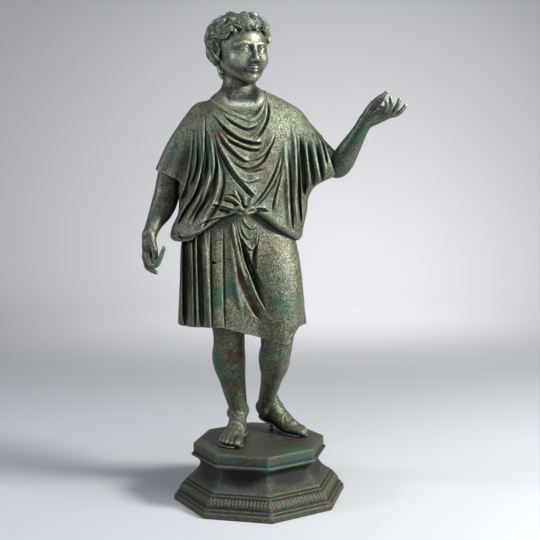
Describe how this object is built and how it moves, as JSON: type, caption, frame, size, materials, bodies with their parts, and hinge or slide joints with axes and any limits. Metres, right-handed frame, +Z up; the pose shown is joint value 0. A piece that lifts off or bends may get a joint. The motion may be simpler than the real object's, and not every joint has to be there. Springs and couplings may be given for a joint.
{
  "type": "bronze statuette",
  "caption": "Standing bronze figure of a Roman altar boy in a belted tunic, one arm held out, on a moulded octagonal base.",
  "frame": {"origin": "centre of the base's underside", "axes": "+Z up, -Y towards the front corner of the base, which the figure faces, +X towards the figure's raised left hand"},
  "size_m": [0.6098, 0.426, 1.1721],
  "materials": {
    "figure_bronze": "olive brown bronze patina with green and red patches, finely pitted",
    "base_bronze": "dark olive bronze patina with green patches, finely pitted"
  },
  "bodies": {
    "root": {"figure": "figure_bronze", "octagonal_base": "base_bronze"}
  },
  "joints": []
}
